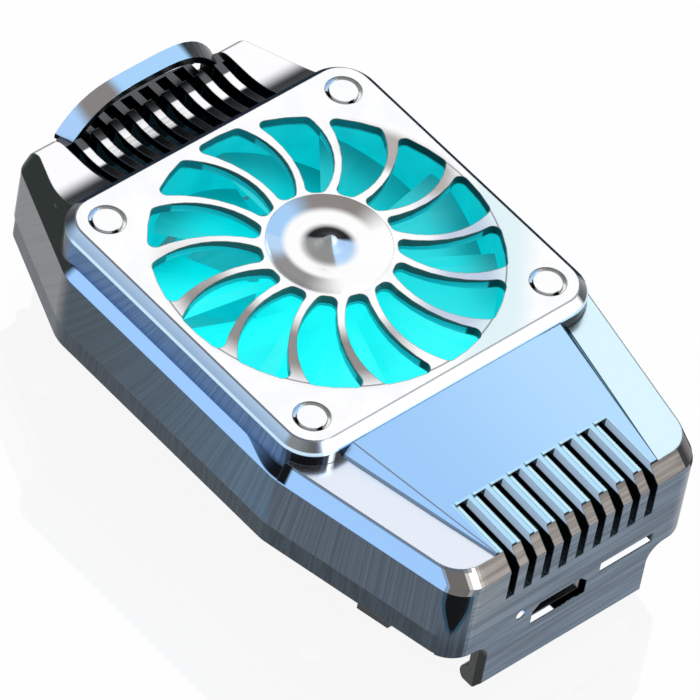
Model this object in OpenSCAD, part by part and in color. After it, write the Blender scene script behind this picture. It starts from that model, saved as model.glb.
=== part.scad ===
// Clip-on phone cooling fan: a plated shell with a 40 mm fan under a curved grille,
// a fixed front jaw and a sprung rear jaw that slides out along Y to hold the phone.
// The front, with the vents, the receptacle and the switch, faces -Y. Z = 0 is the jaw tips.

/* [Body] */
// Width of the body across the straight sides
body_w = 42.6; // [42.2:0.1:46]
// Fan axis to the outer face of the front wall
front_len = 40.5; // [40.2:0.1:46]
// Fan axis to the rear end of the shoulders
rear_len = 30.2; // [30:0.1:34]
// Fan axis to the front end of the straight sides
side_front = 17; // [15:0.5:19]
// Fan axis to the rear end of the straight sides
side_rear = 15.5; // [14:0.5:17]
// Width of the front end before its corners are rounded
nose_w = 32.5; // [31.5:0.1:35]
// Width of the rear end before its corners are rounded
tail_w = 30.8; // [30:0.1:33]
// Radius of the two front corners
nose_r = 3.6; // [3:0.1:4]
// Radius of the two rear corners
tail_r = 2; // [1.5:0.1:2.5]
// Radius of the blunt corners along the sides
side_r = 6; // [4:0.5:8]
// Wall thickness of the shell
wall_t = 1.2; // [1:0.1:1.3]
// Thickness of the front wall and of the jaw plates
front_t = 2.1; // [1.9:0.1:2.4]

/* [Heights] */
// Jaw tips up to the underside that the phone rests on
grip_h = 6.6; // [6:0.1:8]
// Depth of the seat plateau below the skirt
seat_h = 1.7; // [1.5:0.1:2]
// Height of the skirt band
skirt_h = 2.8; // [2.7:0.1:3.5]
// Height of the side walls above the skirt
side_h = 6.8; // [6.5:0.1:8]
// Height of the bevel along the straight sides
bevel_h = 1.1; // [0.8:0.1:1.4]
// Height of the fan block above the bevel
block_h = 2.7; // [2.5:0.1:3.5]
// Thickness of the grille cover
cover_t = 1.3; // [1.2:0.05:1.6]
// Height of the front shoulders above the bevel foot
front_deck_h = 2.4; // [2.1:0.1:2.6]
// Height of the rear shoulders above the bevel foot
rear_deck_h = 2.26; // [2:0.02:2.4]
// Thickness of the floor
floor_t = 0.8; // [0.7:0.05:0.8]

/* [Bevels] */
// Inset of the shoulders' edge on the front taper
front_bevel = 0.75; // [0.5:0.05:1.2]
// Inset of the shoulders' edge on the rear taper
rear_bevel = 1.7; // [1.2:0.1:2]
// Size of the bevel across the front end
nose_bevel = 1.6; // [1.2:0.1:1.8]
// Radius of the cove between the fan block and the rear deck
cove_r = 11.5; // [10:0.5:13]
// Length of the flat behind the cove
cove_flat = 2.4; // [2:0.1:3]
// Radius of the rounded rear end of the shoulders
tail_round = 2.1; // [1.5:0.1:2.2]

/* [Fan block and grille] */
// Step from the side of the body in to the side of the square fan block
block_step = 1.05; // [0.8:0.05:1.2]
// Distance from the side of the fan block to the corner screws
hole_inset = 4.25; // [4.1:0.05:4.4]
// Corner radius of the fan block
block_r = 4.2; // [3.5:0.1:5]
// Wall of the fan block
block_t = 1; // [0.8:0.05:1.1]
// Chamfer round the top of the cover
cover_chamfer = 1.05; // [0.6:0.05:1.15]
// Solid rim between the side of the block and the round grille opening
grille_rim = 1.75; // [1.7:0.05:2.5]
// Outer radius of the hub at the middle of the grille
hub_r = 6.6; // [6:0.1:7]
// Rise of the grille from its rim to the hub
dome_h = 1; // [0.5:0.1:1.4]
// Thickness of the spokes
spoke_t = 1.5; // [1.2:0.1:1.8]
// Number of curved openings in the grille
openings = 15; // [11:1:17]
// Radius of the rounded corners of the openings
opening_corner = 0.8; // [0.4:0.05:0.8]
// Radius of the corner caps
cap_r = 1.55; // [1.5:0.05:1.6]
// Width of the ring groove round each cap
cap_groove = 0.4; // [0.2:0.05:0.5]

/* [Front panel and vents] */
// Width of the raised panel where it meets the fan block
panel_rear_w = 28.4; // [27:0.1:30]
// Width of the raised panel at the front bevel
panel_front_w = 21.8; // [20.5:0.1:23]
// Spread of the panel's side walls at the block
panel_flare = 1.4; // [0.8:0.1:1.6]
// Number of front vent slots
vents = 9; // [7:1:9]
// Distance from one vent slot to the next
vent_pitch = 2.35; // [2.2:0.05:2.4]
// Width of a vent slot
vent_w = 1.1; // [0.9:0.05:1.15]
// Fan axis to the upper ends of the vent slots
vent_start = 32.1; // [31:0.1:33]
// Height of the slots' lower ends above the skirt line
vent_low = 3.3; // [2.5:0.1:4]
// Width of the low ledge beside each slot
ledge_w = 0.6; // [0.5:0.05:0.6]
// Depth of the ledge
ledge_d = 0.3; // [0.15:0.05:0.35]

/* [Rear louvre] */
// Number of louvre ribs
ribs = 9; // [7:2:9]
// Distance from one rib to the next
rib_pitch = 2.38; // [2.3:0.02:2.4]
// Width of a rib
rib_w = 0.96; // [0.8:0.02:1.1]
// Half width of the louvre bay
bay_half = 11.2; // [11.1:0.1:11.8]
// Depth of the bay below the shoulders
bay_dip = 0.25; // [0.1:0.05:0.4]
// Height of the slots in the rear wall of the bay
louvre_drop = 2.6; // [1.5:0.1:3]

/* [Sliding jaw] */
// Travel of the sliding jaw
jaw_travel = 21; // [15:0.5:21]
// Half width of both jaws
jaw_half = 10.9; // [10.6:0.1:11]
// Radius of the round lip at the jaw tips
lip_r = 1.25; // [1.1:0.05:1.4]
// Distance of the lip's middle behind the outer face of its jaw
lip_back = 1.85; // [1.7:0.05:1.9]
// Thickness of the hard plate in front of each jaw liner
plate_t = 1.2; // [1:0.1:1.3]
// Bow of the rear jaw's outer face at its middle
jaw_bow = 0.5; // [0.3:0.05:0.8]
// Height of the pull arch above the jaw's deck
arch_h = 4.3; // [3.8:0.1:5]
// Half width of the arch at its feet, on the side of the fan
arch_half = 9.9; // [9:0.1:10]
// Thickness of the arch bar
arch_t = 0.9; // [0.8:0.1:1.2]
// Depth of the arch bar from front to rear
arch_d = 2; // [1.6:0.1:2.2]
// Thickness of the slide tray
tray_t = 1; // [0.8:0.1:1.1]
// Half width of the tray
tray_half = 10; // [9.5:0.1:10.2]
// Half width of the tray's guide end
guide_half = 13.1; // [12.5:0.1:13.2]
// Fan axis to the rear edge of the guide end
guide_rear = 4; // [3:0.5:4]
// Outer radius of the pull springs
spring_r = 1; // [0.8:0.05:1]
// Distance of the springs from the middle plane
spring_x = 8; // [7.5:0.1:8.5]

/* [Fan] */
// Gap between the fan frame and the wall of the fan block
frame_gap = 0.2; // [0.15:0.05:0.4]
// Thinnest wall of the fan frame beside its bore
frame_wall = 0.6; // [0.6:0.05:1]
// Number of fan blades
blades = 9; // [7:1:11]
// Running gap between the blade tips and the bore
tip_gap = 0.6; // [0.4:0.05:0.9]
// Outer radius of the impeller's hub
rotor_r = 6.4; // [6.2:0.05:6.6]
// Pitch angle of the blades at their tips
blade_angle = 24; // [20:1:30]
// Radius of the rotor shaft
shaft_r = 0.75; // [0.7:0.01:0.8]
// Radial clearance of the shaft in its bearing
shaft_play = 0.03; // [0.02:0.01:0.06]

/* [Electronics] */
// Middle of the receptacle from the middle plane
port_x = -1.6; // [-2.5:0.1:-1]
// Width of the receptacle
port_w = 7.2; // [6.8:0.1:7.6]
// Height of the receptacle
port_h = 2.6; // [2.4:0.1:2.6]
// Middle of the switch slot from the middle plane
switch_x = 7.4; // [7.2:0.1:7.6]
// Length of the switch slot
switch_slot = 7.2; // [6.8:0.1:7.4]
// Height of the switch slot
switch_gap = 1.4; // [1.2:0.1:1.5]
// Travel of the switch knob
switch_travel = 3; // [2:0.1:3.2]
// Indicator light from the middle plane
light_x = -7; // [-7.5:0.1:-6.8]
// Radius of the indicator light
light_r = 0.45; // [0.35:0.05:0.5]
// Width of the battery
battery_w = 23; // [20:0.5:23]
// Length of the battery along Y
battery_l = 10.5; // [9:0.5:11]
// Thickness of the battery
battery_t = 4.2; // [3.5:0.1:4.4]

/* [Fits] */
// Gap between parts that slide past each other
slide_gap = 0.2; // [0.15:0.05:0.25]
// Gap between parts that drop into each other
seat_gap = 0.1; // [0.05:0.05:0.15]
// Radial clearance round a screw
screw_gap = 0.02; // [0.02:0.01:0.05]

/* [Hidden] */
$fn = 64;
tiny = 0.01;
big = 100;
rear_reach = rear_len + jaw_bow;
fan_y = (front_len - rear_reach) / 2;
z_seat = grip_h;
z_skirt = z_seat + seat_h;
z_seam = z_skirt + skirt_h;
z_foot = z_seam + side_h;
z_deck = z_foot + bevel_h;
z_block = z_deck + block_h;
z_top = z_block + cover_t;
z_front = z_foot + front_deck_h;
z_rear = z_foot + rear_deck_h;
z_nose = z_front - nose_bevel;
z_floor = z_seat + floor_t;
z_ledge_floor = z_skirt + floor_t;
bed_wall = 0.8;
seat_half = guide_half + slide_gap + 1.3;
seat_front = front_len - front_t;
bay_rear = rear_len - front_t + 0.05;
bay_wall = bay_rear - wall_t;
block_w = body_w - 2 * block_step;
hole_pitch = block_w - 2 * hole_inset;
pitch_half = hole_pitch / 2;
grille_r = block_w / 2 - grille_rim;
frame_w = block_w - 2 * block_t - 2 * frame_gap;
frame_bore = frame_w / 2 - frame_wall;

// Small plan geometry helpers

// Point where line p + t d meets line q + s e
function meet(p, d, q, e) =
    p + d * ((q - p)[0] * e[1] - (q - p)[1] * e[0]) / (d[0] * e[1] - d[1] * e[0]);

// Arc that rounds corner b between a and c with radius r, in n steps
function rounded_corner(a, b, c, r, n) =
    let(
        u = (a - b) / norm(a - b),
        w = (c - b) / norm(c - b),
        half = acos(u * w) / 2,
        reach = r / tan(half),
        mid = b + (u + w) / norm(u + w) * r / sin(half),
        p = b + u * reach - mid,
        q = b + w * reach - mid,
        from = atan2(p[1], p[0]),
        turn = (atan2(q[1], q[0]) - from + 540) % 360 - 180
    )
    [for (i = [0:n]) mid + r * [cos(from + turn * i / n), sin(from + turn * i / n)]];

// Outline with every corner rounded by its own radius
function rounded_outline(points, radii, n = 12) =
    let(count = len(points))
    [for (i = [0:count - 1], p = rounded_corner(
        points[(i + count - 1) % count], points[i], points[(i + 1) % count], radii[i], n)) p];

// Body outline with each group of sides moved inwards: straight sides, front taper,
// front end, rear taper and rear end
function body_outline(side, taper_f, nose, taper_r, tail) =
    let(
        half = body_w / 2,
        f_dir = [nose_w / 2 - half, side_front - front_len] ,
        f_in = [f_dir[1], -f_dir[0]] / norm(f_dir),
        f_at = [half, -side_front] + f_in * taper_f,
        r_dir = [tail_w / 2 - half, rear_len - side_rear],
        r_in = [-r_dir[1], r_dir[0]] / norm(r_dir),
        r_at = [half, side_rear] + r_in * taper_r,
        a = meet(f_at, f_dir, [0, nose - front_len], [1, 0]),
        b = meet(f_at, f_dir, [half - side, 0], [0, 1]),
        c = meet(r_at, r_dir, [half - side, 0], [0, 1]),
        d = meet(r_at, r_dir, [0, rear_len - tail], [1, 0]),
        mirror_x = function (p) [-p[0], p[1]]
    )
    rounded_outline(
        [a, b, c, d, mirror_x(d), mirror_x(c), mirror_x(b), mirror_x(a)],
        [nose_r, side_r, side_r, tail_r, tail_r, side_r, side_r, nose_r] - [1, 1, 1, 1, 1, 1, 1, 1] * min(side, 1)
    );

module at_fan() {
    translate([0, fan_y, 0]) children();
}

// Solid that blends one outline into the next through the given heights
module loft(heights, outlines) {
    n = len(outlines[0]);
    levels = len(heights);
    polyhedron(
        points = [for (k = [0:levels - 1], p = outlines[k]) [p[0], p[1], heights[k]]],
        faces = concat(
            [[for (i = [0:n - 1]) i]],
            [[for (i = [n - 1:-1:0]) (levels - 1) * n + i]],
            [for (k = [0:levels - 2], i = [0:n - 1]) [k * n + i, (k + 1) * n + i, (k + 1) * n + (i + 1) % n]],
            [for (k = [0:levels - 2], i = [0:n - 1]) [k * n + i, (k + 1) * n + (i + 1) % n, k * n + (i + 1) % n]]
        )
    );
}

module plan_prism(low, high, inset) {
    translate([0, 0, low]) linear_extrude(high - low)
        polygon(body_outline(inset, inset, inset, inset, inset));
}

module x_prism(half, outline) {
    rotate([90, 0, 90]) translate([0, 0, -half]) linear_extrude(2 * half) polygon(outline);
}

module y_prism(low, high, outline) {
    translate([0, high, 0]) rotate([90, 0, 0]) linear_extrude(high - low) polygon(outline);
}

module block(x0, x1, y0, y1, z0, z1) {
    translate([x0, y0, z0]) cube([x1 - x0, y1 - y0, z1 - z0]);
}

module both_sides() {
    children();
    mirror([1, 0, 0]) children();
}

module at_corners() {
    for (sx = [-1, 1], sy = [-1, 1]) translate([sx * pitch_half, sy * pitch_half, 0]) children();
}

function square_outline(side, r) =
    let(h = side / 2) rounded_outline([[h, -h], [h, h], [-h, h], [-h, -h]], [r, r, r, r], 12);

module rounded_square(side, r, low, high) {
    translate([0, 0, low]) linear_extrude(high - low) polygon(square_outline(side, r));
}

module ring(outer, inner, low, high) {
    translate([0, 0, low]) difference() {
        cylinder(r = outer, h = high - low);
        translate([0, 0, -1]) cylinder(r = inner, h = high - low + 2);
    }
}

// Shell forms

// Three stretches of the shell from a height upwards: the middle with its bevel, the front
// with its steeper bevels and the rear, whose bevel runs on up to the cove. An inner form is
// moved inwards by the inset and lowered by the lid
module shell_form(inset, lid, low) {
    rise = 0.4;
    f_slope = front_bevel / front_deck_h;
    r_slope = rear_bevel / rear_deck_h;
    foot = body_outline(inset, inset, inset, inset, inset);
    deep = inset + bevel_h + rise;
    intersection() {
        loft([low, z_foot - lid, z_deck + rise - lid], [foot, foot, body_outline(deep, deep, deep, deep, deep)]);
        block(-big, big, -side_front - 0.5, side_rear + 0.5, 0, big);
    }
    intersection() {
        loft([low, z_foot - lid, z_nose - lid, z_front - lid], [
            foot,
            foot,
            body_outline(inset, inset + f_slope * (z_nose - z_foot), inset, inset, inset),
            body_outline(inset, inset + front_bevel, inset + nose_bevel, inset, inset)
        ]);
        block(-big, big, -big, -side_front - 0.5, 0, big);
    }
    intersection() {
        loft([low, z_foot - lid, z_block - lid], [
            foot,
            foot,
            body_outline(inset, inset, inset, inset + r_slope * (z_block - z_foot), inset)
        ]);
        block(-big, big, side_rear + 0.5, big, 0, big);
    }
}

// Space above the rear deck: the cove, the flat and the rounded rear end
cove_y = bay_rear - cove_flat - 0.2;
function rear_surface(drop) = concat(
    [for (i = [0:12]) let(a = -35 + i * 35 / 12)
        [cove_y + cove_r * sin(a), z_rear - drop + cove_r * (1 - cos(a))]],
    [for (i = [0:8]) let(a = i * 90 / 8)
        [rear_len - tail_round + tail_round * sin(a), z_rear - tail_round * (1 - cos(a))]],
    [[rear_len + 1, z_rear - tail_round], [rear_len + 1, z_top + 3], [cove_y - cove_r * sin(35), z_top + 3]]
);

// Raised front panel: its top falls to the front and its sides splay outwards
module front_panel() {
    rear = -block_w / 2 + 0.5;
    front = nose_bevel - front_len;
    rear_half = panel_rear_w / 2;
    front_half = panel_front_w / 2;
    top_rear = z_top - cover_chamfer - 0.05;
    top_front = z_front + 0.35;
    low = z_front - 0.5;
    polyhedron(
        points = [
            [-rear_half - panel_flare, rear, low], [rear_half + panel_flare, rear, low],
            [front_half + 0.3, front, low], [-front_half - 0.3, front, low],
            [-rear_half, rear, top_rear], [rear_half, rear, top_rear],
            [front_half, front, top_front], [-front_half, front, top_front]
        ],
        faces = [[3, 2, 1, 0], [4, 5, 6, 7], [0, 1, 5, 4], [2, 6, 5], [1, 2, 5], [2, 3, 7, 6],
            [0, 4, 7], [3, 0, 7]]
    );
}

// Jaw outline seen from the front: concave fillets above, rounded corners below
module jaw_front(low_y, high_y, top) {
    fillet = 2.2;
    corner = 0.3;
    right = concat(
        [for (i = [0:6]) let(a = 90 + i * 15)
            [jaw_half + fillet + fillet * cos(a), z_skirt - fillet + fillet * sin(a)]],
        [for (i = [0:6]) let(a = -i * 15)
            [jaw_half - corner + corner * cos(a), corner + corner * sin(a)]]
    );
    left = [for (i = [len(right) - 1:-1:0]) [-right[i][0], right[i][1]]];
    y_prism(low_y, high_y, concat([[jaw_half + fillet, top]], right, left, [[-jaw_half - fillet, top]]));
}

// Jaw section seen from the side: a plate with a round lip. Outer face at y = 0, inwards +y
module jaw_section(top) {
    x_prism(big / 2, concat(
        [[0, top], [0, lip_r + 0.6]],
        [for (i = [2:26]) let(a = 180 + i * 10)
            if (!(a > 360 && lip_back + lip_r * cos(a) < front_t))
                [lip_back + lip_r * cos(a), lip_r + lip_r * sin(a)]],
        [[front_t, 2 * lip_r + 0.2], [front_t, top]]
    ));
}

// Housings and cover

vent_span = (vents - 1) * vent_pitch;

module vent_slots() {
    for (i = [0:vents - 1]) translate([i * vent_pitch - vent_span / 2, 0, 0]) {
        block(-vent_w / 2, vent_w / 2, -front_len - 1, -vent_start, z_seam + vent_low, z_top);
        intersection() {
            block(-vent_w / 2 - ledge_w, 0, -front_len + nose_bevel, -vent_start, z_foot, z_top);
            translate([0, 0, -ledge_d]) front_panel_above();
        }
    }
}

// Space above the sloping top of the front panel
module front_panel_above() {
    top_rear = z_top - cover_chamfer - 0.05;
    top_front = z_front + 0.35;
    x_prism(big, [[-block_w / 2, top_rear], [nose_bevel - front_len, top_front],
        [nose_bevel - front_len, z_top + 2], [-block_w / 2, z_top + 2]]);
}

module louvre_slots() {
    gap = rib_pitch - rib_w;
    half_span = (ribs - 1) / 2 * rib_pitch + rib_w / 2;
    for (i = [0:ribs - 2]) translate([(i - (ribs - 2) / 2) * rib_pitch, 0, 0])
        block(-gap / 2, gap / 2, block_w / 2 + 0.3, rear_len, z_rear - louvre_drop, z_top);
    both_sides()
        block(half_span, bay_half, block_w / 2 + 0.3, rear_len, z_rear - louvre_drop, z_top);
}

shell_posts = [[15.2, -21.6], [15.2, 21.8]];
post_r = 2;

module upper_housing() {
    color("silver") at_fan() difference() {
        union() {
            difference() {
                union() {
                    difference() {
                        shell_form(0, 0, z_seam);
                        x_prism(bay_half, rear_surface(bay_dip));
                        both_sides() translate([bay_half + big / 2, 0, 0]) x_prism(big / 2, rear_surface(0));
                    }
                    front_panel();
                    rounded_square(block_w, block_r, z_foot - 1, z_block);
                    intersection() {
                        plan_prism(z_skirt, z_seam + 1, 0);
                        block(-big, big, -front_len, -seat_front, 0, big);
                    }
                }
                difference() {
                    union() {
                        difference() {
                            shell_form(wall_t, wall_t, z_seam - 1);
                            x_prism(big, rear_surface(wall_t));
                        }
                        rounded_square(block_w - 2 * block_t, block_r - block_t, z_foot - 2, z_top);
                    }
                    block(-big, big, -front_len, -seat_front, 0, z_seam + vent_low - 0.6);
                    block(-bay_half - wall_t, bay_half + wall_t, bay_wall, rear_len, 0, big);
                }
            }
            for (p = shell_posts) both_sides() translate([p[0], p[1], z_seam])
                cylinder(r = post_r, h = z_front - z_seam - 0.6);
            intersection() {
                jaw_front(-front_len, -front_len + plate_t, z_skirt + 0.5);
                translate([0, -front_len, 0]) jaw_section(z_skirt + 0.5);
            }
        }
        vent_slots();
        louvre_slots();
        block(-big, big, -block_w / 2, 0, z_block, big);
        block(-bay_half, bay_half, bay_rear, rear_len + 1, 0, big);
        for (p = shell_posts) both_sides() translate([p[0], p[1], z_seam - 1])
            cylinder(r = screw_r + screw_gap, h = 5);
        port_hole();
        block(switch_x - switch_slot / 2, switch_x + switch_slot / 2, -front_len - 1, -seat_front + 1,
            switch_z - switch_gap / 2, switch_z + switch_gap / 2);
        translate([light_x, -front_len - 1, light_z]) rotate([-90, 0, 0])
            cylinder(r = light_r + 0.2, h = front_t + 2);
    }
}

module lower_housing() {
    skirt_in = 0.15;
    color("dimgray") at_fan() difference() {
        union() {
            difference() {
                plan_prism(z_skirt, z_seam, skirt_in);
                plan_prism(z_ledge_floor, z_seam + 1, skirt_in + wall_t);
            }
            block(-seat_half, seat_half, -seat_front, bay_rear, z_seat, z_ledge_floor);
            intersection() {
                block(-bay_half - wall_t, bay_half + wall_t, bay_wall, rear_len, z_seat, z_seam);
                plan_prism(z_seat, z_seam, skirt_in);
            }
            at_corners() translate([0, 0, z_skirt]) cylinder(r = 2.2, h = z_frame - z_skirt);
            for (p = shell_posts) both_sides() translate([p[0], p[1], z_skirt])
                cylinder(r = post_r + 0.2, h = skirt_h);
            for (y = cradle_y) block(-battery_w / 2, battery_w / 2, y - 0.6, y + 0.6, z_floor, z_battery);
        }
        difference() {
            block(-guide_half - slide_gap, guide_half + slide_gap, -seat_front + bed_wall, bay_wall,
                z_floor, z_ledge_floor + tiny);
            for (y = cradle_y) block(-battery_w / 2, battery_w / 2, y - 0.6, y + 0.6, 0, big);
        }
        block(-tray_half - slide_gap, tray_half + slide_gap, 0, rear_len, z_tray - slide_gap,
            z_tray + tray_t + slide_gap);
        block(-bay_half, bay_half, bay_rear, rear_len + 1, 0, big);
        block(-big, big, -front_len - 1, -seat_front + seat_gap, z_skirt - tiny, big);
        block(-seat_half - 0.3, seat_half + 0.3, -front_len - 1, -seat_front + bed_wall + tiny, z_skirt, big);
        block(-big, big, -front_len - 1, -seat_front, 0, big);
        at_corners() translate([0, 0, z_skirt + 1]) cylinder(r = screw_r + screw_gap, h = 10);
        for (p = shell_posts) both_sides() translate([p[0], p[1], 0]) {
            cylinder(r = screw_r + 0.2, h = z_top);
            cylinder(r = screw_head_r + 0.2, h = z_skirt + 1.2);
        }
        port_clearance();
    }
    color("dimgray") at_fan() for (s = [-1, 1]) translate([s * spring_x, -spring_front, z_floor])
        cylinder(r = post_pin_r, h = z_spring + 0.6 - z_floor);
    color("dimgray") at_fan() both_sides() translate([board_half - 1.2, -board_rear - 1.4, z_floor - tiny])
        cylinder(r = 1.2, h = z_board - z_floor + tiny);
}

// Grille pattern: each opening is bounded by two arcs, the hub ring and the rim
step = 360 / openings;
hub_rim = hub_r + 0.5;

module grille_opening() {
    $fn = 48;
    offset(r = opening_corner) offset(delta = -opening_corner) difference() {
        intersection() {
            circle(r = grille_r);
            rotate(39) translate([0.8 * grille_r, 0]) circle(r = 0.524 * grille_r);
        }
        rotate(72.7) translate([0.946 * grille_r, 0]) circle(r = 0.773 * grille_r);
        circle(r = hub_rim);
    }
}

module grille_cover() {
    outline = square_outline(block_w, block_r);
    lip = 0.5;
    color("white") at_fan() difference() {
        union() {
            difference() {
                loft([z_block, z_top - cover_chamfer, z_top], [
                    outline,
                    outline,
                    square_outline(block_w - 2 * cover_chamfer, block_r - cover_chamfer)
                ]);
                translate([0, 0, z_block - 1]) cylinder(r = grille_r + 0.8 * lip, h = cover_t + 2);
            }
            translate([0, 0, z_top]) rotate_extrude() polygon([
                [0, dome_h - spoke_t], [hub_r, dome_h - spoke_t], [grille_r + lip, 0.1 - cover_t],
                [grille_r + lip, 0], [grille_r + 0.4 * lip, 0], [hub_r + 0.1, dome_h],
                [hub_r - hub_lip, dome_h], [hub_r - hub_lip, dome_h - hub_sink], [0, dome_h - hub_sink]
            ]);
            at_corners() translate([0, 0, z_cover_boss]) cylinder(r = 2.5, h = z_block - z_cover_boss + tiny);
        }
        for (i = [0:openings - 1]) rotate(i * step) translate([0, 0, z_block - 3])
            linear_extrude(8) grille_opening();
        translate([0, 0, z_top - 3]) cylinder(r = 1.5, h = 6);
        at_corners() {
            translate([0, 0, z_top - 0.45]) cylinder(r = cap_r + cap_groove, h = 2);
            translate([0, 0, z_head]) cylinder(r = cap_r + 0.05, h = 3);
            translate([0, 0, z_cover_boss - 1]) cylinder(r = screw_r + 0.1, h = 3);
        }
    }
}

// Dished cap with a raised rim and a small flared cone in the middle
hub_sink = 0.6;
hub_lip = 0.3;
module hub_cap() {
    base = z_top + dome_h - hub_sink;
    seat = hub_r - hub_lip - seat_gap / 2;
    color("white") at_fan() union() {
        translate([0, 0, base]) rotate_extrude() polygon(concat(
            [[0, 0], [seat, 0], [seat, hub_sink], [hub_r, hub_sink], [hub_r, 0.93], [hub_r - 0.12, 1.03]],
            [[4.6, 0.6], [3.2, 0.35], [2.6, 0.4], [1.6, 0.75]],
            [[0.8, 1.2], [0.35, 1.7], [0.1, 1.95], [0, 2]]
        ));
        translate([0, 0, base - 0.9]) cylinder(r = 1.5 - seat_gap / 2, h = 0.9 + tiny);
    }
}

screw_r = 0.9;
screw_head_r = 1.5;
z_cover_boss = z_block - 1;
z_head = z_cover_boss + 0.6;
head_h = 0.9;

module corner_caps() {
    color("white") at_fan() at_corners() translate([0, 0, z_head + head_h])
        cylinder(r = cap_r, h = z_top - 0.05 - z_head - head_h);
}

module cover_screws() {
    color("gray") at_fan() at_corners() difference() {
        union() {
            translate([0, 0, z_head]) cylinder(r = screw_head_r, h = head_h);
            translate([0, 0, z_skirt + 1.4]) cylinder(r = screw_r, h = z_head - z_skirt - 1.4 + tiny);
        }
        for (a = [0, 90]) rotate(a) translate([-1, -0.2, z_head + 0.45]) cube([2, 0.4, 1]);
    }
}

module shell_screws() {
    color("gray") at_fan() for (p = shell_posts) both_sides() translate([p[0], p[1], 0]) difference() {
        union() {
            translate([0, 0, z_skirt + 0.3]) cylinder(r = screw_head_r, h = 0.9);
            translate([0, 0, z_skirt + 1.2 - tiny]) cylinder(r = screw_r, h = 5.2);
        }
        for (a = [0, 90]) rotate(a) translate([-1, -0.2, z_skirt]) cube([2, 0.4, 0.7]);
    }
}

// Fan

z_frame = z_seam + 0.5;
frame_top = z_block - 0.2;
mount_t = 0.8;
z_mount = z_frame + mount_t;
bearing_r = 1.6;
holder_r = 2.2;

module fan_frame() {
    color("darkslategray") at_fan() {
        difference() {
            rounded_square(frame_w, 3, z_frame, frame_top);
            translate([0, 0, z_frame - 1]) cylinder(r = frame_bore, h = frame_top - z_frame + 2);
            at_corners() {
                translate([0, 0, z_frame - 1]) cylinder(r = screw_r + 0.15, h = 20);
                translate([0, 0, z_cover_boss - 0.1]) cylinder(r = 2.7, h = 5);
            }
        }
        difference() {
            union() {
                translate([0, 0, z_frame]) cylinder(r = rotor_r, h = mount_t);
                for (a = [45:90:315]) rotate(a) block(rotor_r - 1, frame_bore + 0.3, -0.9, 0.9, z_frame, z_mount);
                translate([0, 0, z_mount - tiny]) cylinder(r = holder_r, h = 5);
            }
            translate([0, 0, z_mount]) cylinder(r = bearing_r + 0.01, h = 8);
        }
    }
}

module shaft_bearing() {
    color("peru") at_fan() ring(bearing_r, shaft_r + shaft_play, z_mount, z_mount + 4.9);
}

z_rotor = z_mount + 1.4;
rotor_top = frame_top - 0.6;

// Each blade is a helical sheet, widest at its tip, that overlaps the next one
module impeller() {
    tip = frame_bore - tip_gap;
    rise = rotor_top - z_rotor - 0.4;
    sweep = rise / tan(blade_angle) / tip * 180 / PI;
    color("aqua") at_fan() {
        difference() {
            translate([0, 0, z_rotor]) cylinder(r = rotor_r, h = rotor_top - z_rotor);
            translate([0, 0, z_rotor - 1]) cylinder(r = rotor_r - 0.6, h = rotor_top - z_rotor);
            translate([0, 0, z_rotor]) cylinder(r = shaft_r + 0.01, h = 9);
        }
        for (i = [0:blades - 1]) rotate(i * 360 / blades) translate([0, 0, z_rotor + 0.2])
            linear_extrude(rise, twist = -sweep, slices = 10, $fn = 8) polygon([
                [rotor_r - 0.3, -0.45], [tip, -0.9], [tip, 0.9], [rotor_r - 0.3, 0.45]
            ]);
    }
}

yoke_r = rotor_r - 0.65;
yoke_top = rotor_top - 1.05;

module rotor_yoke() {
    color("lightgray") at_fan() difference() {
        translate([0, 0, z_rotor + 0.2]) cylinder(r = yoke_r, h = yoke_top - z_rotor - 0.2);
        translate([0, 0, z_rotor - 1]) cylinder(r = yoke_r - 0.5, h = yoke_top - z_rotor + 0.5);
        translate([0, 0, z_rotor]) cylinder(r = shaft_r + 0.01, h = 9);
    }
}

module magnet_ring() {
    color("black") at_fan() ring(yoke_r - 0.52, yoke_r - 1.3, z_rotor + 0.3, z_rotor + 3.8);
}

module rotor_shaft() {
    color("gainsboro") at_fan() translate([0, 0, z_mount + 0.1]) cylinder(r = shaft_r, h = rotor_top - z_mount - 0.6);
}

z_core = z_mount + 1.8;
core_h = 1.8;
pole_r = yoke_r - 1.3 - 0.25;

module stator_core() {
    color("dimgray") at_fan() {
        ring(holder_r + 0.6, holder_r + 0.01, z_core, z_core + core_h);
        for (a = [0:90:270]) rotate(a) {
            block(holder_r + 0.5, pole_r - 0.2, -0.35, 0.35, z_core, z_core + core_h);
            intersection() {
                ring(pole_r, pole_r - 0.4, z_core, z_core + core_h);
                block(0, pole_r + 1, -1.6, 1.6, 0, big);
            }
        }
    }
}

module stator_coils() {
    color("sienna") at_fan() for (a = [0:90:270]) rotate(a) difference() {
        block(holder_r + 0.65, pole_r - 0.45, -0.75, 0.75, z_core - 0.4, z_core + core_h + 0.4);
        block(0, pole_r, -0.37, 0.37, z_core - 0.02, z_core + core_h + 0.02);
    }
}

module fan_board() {
    color("darkgreen") at_fan() ring(rotor_r - 0.8, holder_r + 0.05, z_mount, z_mount + 0.8);
}

led_ring_r = 16;

module led_board() {
    color("white") at_fan() ring(led_ring_r + 1, led_ring_r - 1, z_mount, z_mount + 0.5);
}

module leds() {
    color("cyan") at_fan() for (i = [0:7]) rotate(i * 45 + 22.5)
        block(led_ring_r - 0.4, led_ring_r + 0.4, -0.8, 0.8, z_mount + 0.5, z_mount + 1.1);
}

// Electronics

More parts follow.
